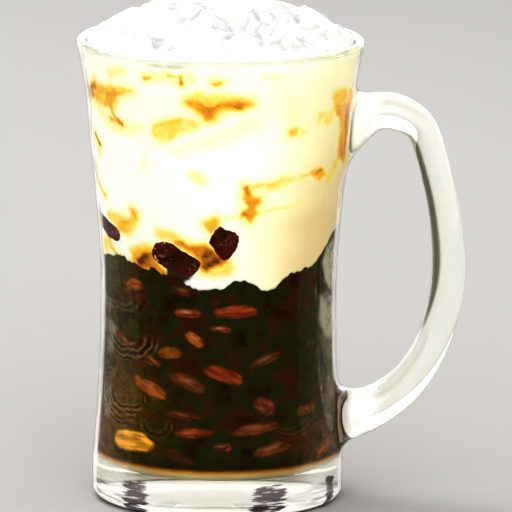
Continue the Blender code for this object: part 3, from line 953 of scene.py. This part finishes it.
# Pools of syrup in the ice: (strength, softness, outline in the picture)
POOLS = [
    # upper left
    (0.53, 0.9, [(94, 80), (99, 83), (107, 86), (124, 88), (132, 90), (119, 97), (115, 108), (105, 106),
     (98, 101), (95, 92)]),
    (0.7, 0.7, [(108, 93), (111, 90), (131, 91), (125, 93), (119, 96), (115, 101), (114, 108), (106, 105),
     (106, 100)]),
    (0.82, 0.6, [(89, 90), (93, 82), (96, 79), (98, 87), (95, 90), (96, 96), (91, 99)]),
    (0.24, 2.2, [(98, 104), (108, 108), (124, 124), (140, 126), (136, 132), (112, 126), (104, 116)]),
    (0.26, 1.8, [(108, 70), (122, 69), (124, 73), (110, 74)]),
    (0.24, 1.6, [(142, 75), (166, 73), (192, 74), (194, 79), (180, 84), (150, 79)]),
    (0.52, 0.6, [(211, 81), (222, 81), (223, 83), (218, 86), (213, 84)]),
    # middle
    (0.5, 1.0, [(184, 103), (188, 98), (200, 92), (216, 95), (230, 97), (250, 97), (253, 103), (240, 109),
     (222, 110), (214, 122), (206, 121), (196, 111)]),
    (0.69, 0.8, [(186, 102), (190, 99), (198, 101), (206, 105), (214, 106), (221, 102), (230, 100),
     (242, 101), (248, 103), (240, 107), (226, 108), (218, 110), (214, 116), (211, 120), (206, 120),
     (202, 113), (196, 109), (189, 106)]),
    (0.42, 0.8, [(152, 129), (157, 123), (167, 120), (180, 119), (193, 120), (199, 123.5), (196, 128),
     (187, 130.5), (178, 134), (170, 139), (162, 139.5), (155, 136)]),
    (0.14, 2.4, [(150, 140), (176, 146), (215, 134), (236, 124), (262, 112), (258, 128), (226, 142),
     (180, 154)]),
    (0.24, 1.4, [(188, 174), (197, 174), (205, 179), (204, 182), (198, 182)]),
    (0.13, 2.0, [(142, 154), (148, 154), (149, 166), (141, 168)]),
    (0.18, 1.6, [(262, 76), (282, 73), (288, 75), (280, 78), (264, 79)]),
    # upper right
    (0.58, 1.0, [(333, 92), (340, 88), (353, 87), (352, 99), (344, 102), (339, 115), (334, 113),
     (334, 100)]),
    (0.72, 1.2, [(338, 104), (352, 98), (352, 125), (349, 148), (343, 160), (337, 154), (340, 128)]),
    (0.74, 0.7, [(335, 103), (339, 103), (340, 114), (336, 115)]),
    (0.66, 0.7, [(349, 103), (353, 103), (351, 124), (348, 140), (345, 155), (338, 155), (337, 149),
     (344, 139), (345, 127), (347, 114)]),
    (0.4, 1.1, [(319, 114), (334, 108), (335, 115), (330, 124), (318, 122)]),
    (0.47, 0.8, [(287, 131), (292, 127), (297, 128), (296, 135), (289, 136)]),
    (0.3, 1.2, [(294, 128), (309, 129), (308, 134), (296, 136)]),
    (0.15, 3.4, [(286, 104), (296, 98), (303, 108), (302, 120), (294, 130), (286, 124), (283, 114)]),
    (0.62, 0.9, [(311, 172), (319, 167), (323, 172), (327, 175), (318, 180), (314, 176)]),
    (0.44, 1.2, [(327, 175), (333, 160), (336, 153), (339, 156), (333, 176), (325, 185)]),
    (0.36, 1.5, [(262, 187), (280, 178), (308, 172), (309, 177), (290, 183), (268, 190)]),
    (0.7, 0.6, [(246, 186), (250, 189), (252, 195), (256, 198), (260, 198), (258, 203), (254, 207),
     (257, 212), (253, 216), (250, 220), (247, 216), (242, 215), (245, 210), (249, 206), (246, 197)]),
    (0.16, 2.6, [(243, 186), (254, 184), (262, 196), (262, 210), (254, 222), (244, 220), (239, 208)]),
    (0.24, 1.2, [(296, 203), (308, 195), (312, 198), (300, 207)]),
    # round the beans
    (0.6, 0.7, [(204, 222), (214, 218), (219, 220), (217, 227), (212, 232), (207, 228)]),
    (0.9, 0.9, [(176, 242), (183, 243), (188, 246), (197, 246), (206, 245), (212, 248), (216, 252),
     (222, 256), (227, 260), (222, 264), (214, 267), (206, 269), (200, 266), (200, 258), (195, 253),
     (188, 250), (181, 247)]),
    (0.4, 1.4, [(204, 270), (214, 268), (228, 261), (232, 266), (227, 274), (214, 274)]),
    (0.38, 1.0, [(155, 229), (165, 229), (176, 234), (183, 240), (186, 243), (174, 241), (165, 237),
     (158, 233)]),
    (0.56, 1.4, [(132, 250), (146, 246), (156, 246), (158, 262), (144, 266), (133, 262)]),
    (0.84, 0.7, [(137, 257), (144, 252), (155, 248), (158, 254), (156, 258), (160, 265), (166, 272),
     (163, 280), (157, 279), (151, 271), (147, 266), (138, 265)]),
    (0.5, 1.0, [(109, 213), (118, 214), (125, 217), (130, 219), (132, 214), (130, 208), (134, 208),
     (139, 214), (136, 222), (133, 229), (128, 232), (123, 230), (118, 227), (113, 220)]),
    (0.42, 0.9, [(103, 237), (108, 234), (113, 240), (112, 246), (108, 251), (104, 246)]),
]
# Thin runs of syrup: (strength, half width, places in the picture)
RUNS = [
    (0.7, 0.9, [(112, 108), (115, 116), (119, 120), (123, 124)]),
    (0.62, 1.0, [(112, 119), (116, 120)]),
    (0.62, 0.7, [(145, 78), (151, 78)]),
    (0.6, 0.7, [(168, 74), (180, 76)]),
    (0.84, 0.7, [(181.5, 75), (182, 83)]),
    (0.64, 0.8, [(213, 83), (221, 83)]),
    (1.0, 0.7, [(96, 133), (101, 143)]),
    (0.3, 1.7, [(96, 138), (101, 152)]),
    (0.78, 0.9, [(190, 103), (200, 105), (208, 109), (216, 107), (226, 105)]),
    (0.8, 0.7, [(231, 106), (240, 107)]),
    (0.62, 0.8, [(289, 131), (294, 130)]),
    (0.84, 0.9, [(344, 109), (345, 118)]),
    (0.84, 1.2, [(341, 131), (340, 147)]),
    (0.84, 0.7, [(349.5, 128), (348.5, 142)]),
    (0.84, 1.2, [(317, 173), (320, 171)]),
    (0.46, 1.0, [(252, 188), (267, 183.5), (290, 179), (308, 174)]),
    (0.22, 0.8, [(226, 217), (241, 215)]),
    (0.28, 1.1, [(258, 212), (278, 208), (297, 205), (308, 197)]),
    (0.84, 0.8, [(247, 187), (248, 193)]),
    (0.84, 1.0, [(244, 212), (248, 214)]),
    (0.84, 1.4, [(188, 249), (197, 250), (206, 249), (212, 250)]),
    (0.84, 1.0, [(205, 260), (213, 262)]),
    (0.7, 1.2, [(133, 212), (136, 216)]),
    (0.66, 1.2, [(124, 221), (129, 222)]),
    (0.8, 0.7, [(97, 160), (99, 180), (102, 187), (106, 194)]),
    (0.7, 0.8, [(112, 245), (120, 256), (129, 263), (137, 266)]),
    (0.8, 0.8, [(139, 266), (150, 267), (158, 278)]),
]
# Soup that comes up to the front bean, as an outline in the picture
SOUPY = [
    (166, 262), (178, 266), (190, 270), (196, 268), (194, 274), (189, 280), (184, 284), (186, 293),
    (172, 291), (166, 284), (167, 274),
]
BACK_POOLS = 22
BACK_CORNERS = 9
HALO = 2.6
ICE_COLUMNS = 640
ICE_ROWS = 104
DISC_STEPS = ICE_COLUMNS // 4
ICE_EDGE = 135.5
GLASS_REACH = 2.5  # how deep the looks of the ice at the glass go
# How the syrup's edges wander: (length, reach, shift of the noise)
WANDERS = [(7.0, 0.5, 3), (2.4, 0.4, 11)]
HEAP = [(0, 150), (12, 149.6), (19, 148.4), (24.5, 145.6), (30, 143.6), (35, 141.1), (39, 138.6)]
HEAP_RADIUS = 39.0
HEAP_TOP = 151.2
LUMP_HEIGHT = 2.2
LUMP_LENGTH = 11.0
LUMP_FADE = 4.0
SMALL_LUMP_SHARE = 0.45
SMALL_LUMP_SHIFT = Vector((7, 3, 1))
# Pieces of crushed ice: (size, tilt, step, depth of the gaps between)
CHUNKS = [(6.4, 0.34, 0.7, 0.4), (3.1, 0.4, 0.5, 0.22)]
CREVICE_WIDTH = 0.34


def outline_distance(angle, height, outline):
    """Distance along the glass to an outline of (angle, height), negative inside it."""
    inside = np.zeros(height.shape, dtype=bool)
    middle = sum(a for a, _ in outline) / len(outline)
    aside = around(angle, middle)
    for (a0, z0), (a1, z1) in zip(outline, outline[1:] + outline[:1]):
        if z0 != z1:
            crosses = (z0 > height) != (z1 > height)
            inside ^= crosses & (aside < a0 - middle + (a1 - a0) * (height - z0) / (z1 - z0))
    distance = line_distance(angle, height, outline + outline[:1])
    return np.where(inside, -distance, distance)


def line_distance(angle, height, line):
    """Distance along the glass from each point to a line of (angle, height)."""
    best = np.full(height.shape, FAR)
    for (a0, z0), (a1, z1) in zip(line, line[1:]):
        px = np.radians(around(angle, a0)) * OUTLINE_RADIUS
        pz = height - z0
        dx = math.radians(a1 - a0) * OUTLINE_RADIUS
        dz = z1 - z0
        t = np.clip((px * dx + pz * dz) / max(dx * dx + dz * dz, 1e-9), 0, 1)
        best = np.minimum(best, np.hypot(px - t * dx, pz - t * dz))
    return best


def all_syrup(rng):
    """The syrup's pools and runs in front, and seeded ones of the same kind round the back."""
    pools = [(strength, softness, seen_all(outline)) for strength, softness, outline in POOLS]
    runs = [(strength, width, seen_all(line)) for strength, width, line in RUNS]
    for _ in range(BACK_POOLS):
        angle = rng.uniform(96, 266)
        height = rng.choice([rng.uniform(114, 131), rng.uniform(80, 114)])
        length = rng.uniform(3, 9)
        width = rng.uniform(1.2, 3.0)
        slope = rng.uniform(-0.35, 0.15)
        outline = []
        for k in range(BACK_CORNERS):
            turn = 2 * math.pi * k / BACK_CORNERS
            reach = rng.uniform(0.6, 1.15)
            aside = length * reach * math.cos(turn)
            rise = slope * aside + width * reach * math.sin(turn)
            outline.append((angle + math.degrees(aside / OUTLINE_RADIUS), height + rise))
        strength = rng.choice([0.3, 0.45, 0.55, 0.75])
        pools.append((strength, 0.9, outline))
        if strength > 0.5:
            runs.append((0.9, 0.6, outline[2:5]))
    return pools, runs


def syrup_field(angle, height, pools, runs):
    """How much syrup there is, with a faint glow round each pool and run."""
    total = np.zeros(height.shape)
    glow = np.zeros(height.shape)
    for strength, softness, outline in pools:
        distance = outline_distance(angle, height, outline)
        total = np.maximum(total, strength * smoothstep(2.2 * softness, -0.9 * softness, distance))
        glow = np.maximum(glow, 0.34 * strength * bell(np.maximum(distance, 0), HALO))
    for strength, width, line in runs:
        distance = line_distance(angle, height, line)
        total = np.maximum(total, strength * bell(distance, width))
        glow = np.maximum(glow, 0.3 * strength * bell(distance, width + 0.6 * HALO))
    return np.clip(np.maximum(total, glow) + 0.08 * glow, 0, 1)


def cream_field(side, height):
    """Where the ice is creamy rather than white."""
    right = window(side, 8, 60, 100, 150)
    centre = window(side, -8, 8, 100, 150) * smoothstep(93, 86, height)
    low = smoothstep(124, 96, height)
    back = 0.3 * smoothstep(100, 140, np.abs(side)) * low
    return right * (0.34 + 0.50 * low) + 0.2 * centre + 0.12 * smoothstep(106, 124, height) + back


def wandering(spots, size, reach, shift):
    """For each spot, two smooth random lengths within about reach either way."""
    moves = np.zeros((len(spots), 2))
    for k, spot in enumerate(spots):
        drift = noise.turbulence_vector(Vector(spot) / size + Vector((shift, 0, 0)), 3, False)
        moves[k] = drift.x * reach, drift.y * reach
    return moves


def disc_points(steps):
    """A square grid bent into a disc of radius 1, row by row, as (x, y)."""
    a, b = np.meshgrid(*[np.linspace(-1, 1, steps + 1)] * 2, indexing="ij")
    wide = np.abs(a) > np.abs(b)
    with np.errstate(divide="ignore", invalid="ignore"):
        turn = np.where(wide, math.pi / 4 * b / a, math.pi / 2 - math.pi / 4 * a / b)
    turn = np.nan_to_num(turn)
    reach = np.where(wide, a, b)
    return np.stack([reach * np.cos(turn), reach * np.sin(turn)], axis=-1)


def disc_rim(steps):
    """The places (row, column) round the edge of disc_points, in order."""
    rim = [(steps, k) for k in range(steps)]
    rim += [(steps - k, steps) for k in range(steps)]
    rim += [(0, steps - k) for k in range(steps)]
    return rim + [(k, 0) for k in range(steps)]


def chunk_relief(x, y):
    """How far the crushed ice stands out of the heap at x, y, and how much of a crevice it is there."""
    relief = 0.0
    crevice = 0.0
    for size, tilt, step, depth in CHUNKS:
        spot = Vector((x, y, size)) / size
        drift = noise.noise_vector(spot * 1.1) * 0.35
        distances, centres = noise.voronoi(spot + drift)
        own = noise.cell_vector(centres[0] * 7.3)
        away = spot + drift - centres[0]
        slope = tilt * ((own.x - 0.5) * away.x + (own.y - 0.5) * away.y) * size
        gap = min(1.0, (distances[1] - distances[0]) / CREVICE_WIDTH)
        open_here = max(0.0, min(1.0, 0.55 + 1.4 * noise.noise(spot * 0.7)))
        groove = open_here * (1 - gap * gap * (3 - 2 * gap))
        relief += (1 - groove) * (slope + step * (own.z - 0.5)) - depth * groove
        crevice = max(crevice, groove * depth / CHUNKS[0][3])
    return relief, crevice


def heap_height(x, y):
    """The height of the heap's lumpy top over the point x, y, and its crevice."""
    reach = math.hypot(x, y)
    dome = float(smooth_line(HEAP, reach))
    fade = max(0.0, min(1.0, (HEAP_RADIUS - reach) / LUMP_FADE))
    spot = Vector((x, y, 0)) / LUMP_LENGTH
    small = noise.noise(spot / SMALL_LUMP_SHARE + SMALL_LUMP_SHIFT)
    lumps = LUMP_HEIGHT * (noise.noise(spot) + SMALL_LUMP_SHARE * small)
    relief, crevice = chunk_relief(x, y)
    return min(dome + fade * (lumps + relief), HEAP_TOP), fade * crevice


def shore_detail(angle):
    """Small unevenness of the ice's lower edge."""
    turn = math.radians(angle)
    spot = Vector((math.sin(turn), -math.cos(turn), 0)) * OUTLINE_RADIUS
    return 1.0 * noise.noise(spot / 3.1) + 0.6 * noise.noise(spot / 1.3 + Vector((5, 1, 2)))


def ice_side(angles):
    """Radii and heights of the ice's grid: its side from the rim down, and its hidden underside."""
    shore = smooth_line(SHORE, around(angles, 0)) + np.array([shore_detail(a) for a in angles])
    share = np.linspace(0, 1, ICE_ROWS)[:, None]
    side_z = ICE_EDGE + (shore[None, :] - ICE_EDGE) * share
    side_r = inner_radius(side_z) + ICE_BITE
    lid = np.linspace(0.985, 0.02, MEETING_RINGS)[:, None]
    under_z = MEETING_HEIGHT + (side_z[-1:] - MEETING_HEIGHT) * lid**1.5
    return np.concatenate([side_r, lid * side_r[-1:]]), np.concatenate([side_z, under_z])


def ice_mesh():
    """The ice's mesh, its points and how much of a crevice each point is."""
    disc = disc_points(DISC_STEPS)
    rim = disc_rim(DISC_STEPS)
    angles, _ = round_places(np.array([disc[place] for place in rim]))
    radii, heights = ice_side(angles)
    points = [tuple(point) for point in turned_points(angles, radii, heights)]
    faces = grid_faces(len(radii), len(angles))
    faces.append(tuple(reversed(range(radii.size - len(angles), radii.size))))
    crevices = [0.0] * len(points)
    number = {place: k for k, place in enumerate(rim)}
    edge = float(inner_radius(ICE_EDGE)) + ICE_BITE
    for place in np.ndindex(DISC_STEPS + 1, DISC_STEPS + 1):
        if place not in number:
            number[place] = len(points)
            x, y = disc[place] * edge
            z, crevice = heap_height(x, y)
            points.append((x, y, z))
            crevices.append(crevice)
    for i, j in np.ndindex(DISC_STEPS, DISC_STEPS):
        faces.append((number[i, j], number[i + 1, j], number[i + 1, j + 1], number[i, j + 1]))
    mesh = new_mesh("crushed_ice", points, faces)
    shape = bmesh.new()
    shape.from_mesh(mesh)
    bmesh.ops.recalc_face_normals(shape, faces=shape.faces)
    shape.to_mesh(mesh)
    shape.free()
    return mesh, np.array(points), crevices


def build_ice():
    pools, runs = all_syrup(random.Random(SEED + 1))
    mesh, spots, crevices = ice_mesh()
    angle, reach = round_places(spots)
    height = spots[:, 2]
    depth = inner_radius(np.minimum(height, ICE_EDGE)) - reach
    at_glass = smoothstep(GLASS_REACH, 0, depth) * smoothstep(138.5, 136, height)
    near = at_glass > 0
    moves = np.zeros((len(spots), 2))
    moves[near] = sum(wandering(spots[near], *row) for row in WANDERS)
    bent_angle = angle + np.degrees(moves[:, 0] / OUTLINE_RADIUS)
    bent_height = height + moves[:, 1]
    stain = np.zeros(len(spots))
    stain[near] = syrup_field(bent_angle[near], bent_height[near], pools, runs)
    dark = outline_distance(bent_angle, bent_height, seen_all(SOUPY))
    set_fields(
        mesh,
        syrup=stain * at_glass,
        cream=cream_field(angle, height) * at_glass,
        # The open heap and its crevices carry painted shade
        bare=1 - at_glass,
        crevice=crevices,
        soupy=smoothstep(0.35, -0.35, dark) * at_glass,
    )
    return ridden(new_object("crushed_ice", mesh), ice_material(), "coconut_ice", "coconut_ice")


# Single beans in the ice: (node, angle, height, tilt, size ratios, outline in the picture)
ICE_BEANS = [
    ("bean_in_ice_front", -21, 77.6, -22, (1.18, 1.1, 1.14), [
     (157, 242), (165, 240), (174, 243), (180, 248), (188, 253), (197, 259), (201, 262), (200, 267),
     (195, 273), (191, 277), (184, 275), (175, 270), (167, 268), (160, 263), (154, 257), (153, 252),
     (154, 246)]),
    ("bean_in_ice_middle", 2.5, 83.6, -38, (0.82, 1.1, 1.22), [
     (220, 225), (227, 228), (239, 236), (238, 245), (233, 253), (225, 260), (218, 255), (213, 247),
     (209, 242), (212, 234)]),
    ("bean_in_ice_left", -68, 84.6, -30, (1.12, 1.0, 1.02), [
     (100.5, 209), (104, 214), (109, 219), (113, 223), (119, 229), (121, 235), (119, 240), (114, 238),
     (110, 236), (106, 230), (103, 225), (101, 218)]),
    ("bean_in_ice_right", 112, 90, 14, (1.0, 1.0, 1.05), []),
    ("bean_in_ice_back", 168, 81, -20, (1.1, 1.05, 1.0), []),
    ("bean_in_ice_behind_left", -128, 86, 26, (0.95, 1.0, 1.1), []),
]
BEAN_SIZE = Vector((12.4, 6.0, 6.6))
BEAN_BEND = 0.1
BEAN_PRESS = 2.55  # how far a bean would reach into the glass if it weren't flat there
BALL_COLUMNS = 64
BALL_ROWS = 40


def ball():
    """Points and faces of a ball of diameter 1, from its top to its bottom."""
    angles = np.arange(BALL_COLUMNS) * 360.0 / BALL_COLUMNS
    tilts = np.radians(np.arange(1, BALL_ROWS) * 180.0 / BALL_ROWS)[:, None] + 0 * angles
    points = [(0, 0, 0.5), *turned_points(angles, 0.5 * np.sin(tilts), 0.5 * np.cos(tilts)), (0, 0, -0.5)]
    last = len(points) - 1
    faces = [tuple(corner + 1 for corner in face) for face in grid_faces(BALL_ROWS - 1, BALL_COLUMNS)]
    for k in range(BALL_COLUMNS):
        after = (k + 1) % BALL_COLUMNS
        faces.append((0, 1 + k, 1 + after))
        faces.append((last, last - BALL_COLUMNS + after, last - BALL_COLUMNS + k))
    return points, faces


def bean_outline(outline, angle, height, tilt):
    """The outline's reach from the bean's middle, as (direction, reach), and its middle."""
    lean = math.radians(tilt)
    spots = []
    for at, level in seen_all(outline):
        aside = math.radians(at - angle) * float(inner_radius(level))
        rise = level - height
        along = aside * math.cos(lean) + rise * math.sin(lean)
        spots.append((along, rise * math.cos(lean) - aside * math.sin(lean)))
    middle = [sum(column) / len(spots) for column in zip(*spots)]
    offsets = [(x - middle[0], z - middle[1]) for x, z in spots]
    polar = sorted((math.atan2(z, x), math.hypot(x, z)) for x, z in offsets)
    return [(a + turn, r) for turn in (-2 * math.pi, 0, 2 * math.pi) for a, r in polar], middle


def bean_frame(angle, height, tilt, depth):
    """Where a bean lies against the glass."""
    turn = math.radians(angle)
    outward = Vector((math.sin(turn), -math.cos(turn), 0))
    centre = outward * (float(inner_radius(height)) - depth / 2 + BEAN_PRESS)
    centre.z = height
    along = Vector((math.cos(turn), math.sin(turn), 0))
    axes = Matrix((along, -outward, Vector((0, 0, 1)))).transposed()
    lean = Matrix.Rotation(-math.radians(tilt), 3, "Y")
    return Matrix.Translation(centre) @ (axes @ lean).to_4x4()


def build_ice_bean(name, angle, height, tilt, ratios, outline, material):
    """A wrinkled bean, flat where it is pressed into the glass, with the given outline if there is one."""
    size = Vector([a * b for a, b in zip(BEAN_SIZE, ratios)])
    place = bean_frame(angle, height, tilt, size.y)
    if outline:
        reaches, middle = bean_outline(outline, angle, height, tilt)
    points, faces = ball()
    skin = []
    for x, y, z in points:
        boxy = 1 + 0.10 * noise.noise(Vector((x, y, z)) * 4.0 + Vector((angle, 0, 0)))
        if outline:
            rough = 1 + 0.07 * noise.noise(Vector((x, y, z)) * 9.0 + Vector((0, angle, 0)))
            wide = 2 * rough * float(smooth_line(reaches, math.atan2(z, x)))
            spot = Vector((x * wide + middle[0], y * size.y * boxy, z * wide + middle[1]))
        else:
            droop = BEAN_BEND * (2 * x) ** 2
            spot = Vector((x * size.x, y * size.y, (z - droop) * size.z)) * boxy
        spot = place @ spot
        cut = min(1.0, (float(inner_radius(spot.z)) + BEAN_BITE) / math.hypot(spot.x, spot.y))
        skin.append((spot.x * cut, spot.y * cut, spot.z))
    bean = new_object(name + "_skin", new_mesh(name + "_skin", skin, faces))
    return ridden(bean, material, "bean_in_ice", name)


def build_ice_beans():
    material = ice_bean_material()
    for row in ICE_BEANS:
        build_ice_bean(*row, material)


# The stage, in metres


# A dark sheet on the floor in front, which puts painted shade into the glass's reflections: its inner and
# outer radius and its half angle
SHEET = (0.10, 1.1, 80)
SHEET_STEPS = 8
SHEET_LIFT = 0.0001
FLOOR_RADIUS = 4.0
FLOOR_DROP = 0.0003
# Soft lamps: (name, power, size, place)
LAMPS = [("key", 14, 0.9, (-0.55, 0.6, 1.1)), ("fill", 10, 1.2, (0.1, -1.05, 0.95))]
LAMPS_AIM = Vector((0, 0, 0.1))


def build_floor():
    disc = bmesh.new()
    bmesh.ops.create_circle(disc, cap_ends=True, segments=128, radius=FLOOR_RADIUS)
    floor = new_object("floor", shape_mesh("floor", disc))
    floor.location.z = -FLOOR_DROP
    floor.data.materials.append(floor_material())


def build_sheet():
    """A dark sheet on the floor in front that only the glass's reflections show, as painted shade in them:
    the camera, shadows and other light pass it by.
    """
    near, far, half = SHEET
    turns = np.radians(np.linspace(-half, half, SHEET_STEPS + 1))
    corners = [(r * math.sin(a), -r * math.cos(a), SHEET_LIFT) for a in turns for r in (near, far)]
    faces = [(2 * k, 2 * k + 1, 2 * k + 3, 2 * k + 2) for k in range(SHEET_STEPS)]
    mesh = bpy.data.meshes.new("sheet")
    mesh.from_pydata(corners, [], faces)
    mesh.materials.append(Nodes("sheet").shaded(Base_Color=(0.02, 0.02, 0.018), Roughness=0.9))
    sheet = new_object("sheet", mesh)
    sheet.visible_camera = False
    sheet.visible_shadow = False
    sheet.visible_diffuse = False
    sheet.visible_transmission = False


def build_light():
    scene = bpy.context.scene
    scene.world = bpy.data.worlds.new("studio")
    scene.world.use_nodes = True
    background = scene.world.node_tree.nodes["Background"]
    background.inputs["Color"].default_value = (1.0, 0.995, 0.98, 1)
    background.inputs["Strength"].default_value = 1.3
    for name, power, size, place in LAMPS:
        lamp = bpy.data.lights.new(name, "AREA")
        lamp.shape = "DISK"
        lamp.size = size
        lamp.energy = power
        light = new_object(name, lamp)
        light.location = place
        light.rotation_euler = (LAMPS_AIM - light.location).to_track_quat("-Z", "Y").to_euler()
    scene.view_settings.view_transform = "Standard"
    scene.view_settings.look = "High Contrast"


def build_camera():
    rise = math.radians(VIEW_ELEVATION)
    back = Vector((0, -math.cos(rise), math.sin(rise)))
    right = Vector((1, 0, 0))
    axes = Matrix((right, back.cross(right), back)).transposed()
    lens = bpy.data.cameras.new("camera")
    lens.sensor_width = SENSOR
    lens.lens = SENSOR * VIEW_DISTANCE / VIEW_WIDTH
    lens.clip_end = 20
    camera = new_object("camera", lens)
    camera.location = VIEW_TARGET + back * VIEW_DISTANCE
    camera.rotation_euler = (axes @ Matrix.Rotation(math.radians(VIEW_LEAN), 3, "Z")).to_euler()
    bpy.context.scene.camera = camera


def main():
    noise.seed_set(SEED)  # the vector noise would differ from run to run without it
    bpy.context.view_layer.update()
    build_camera()
    build_mug()
    build_soup()
    build_ice()
    build_ice_beans()
    build_floor()
    build_sheet()
    build_light()


main()
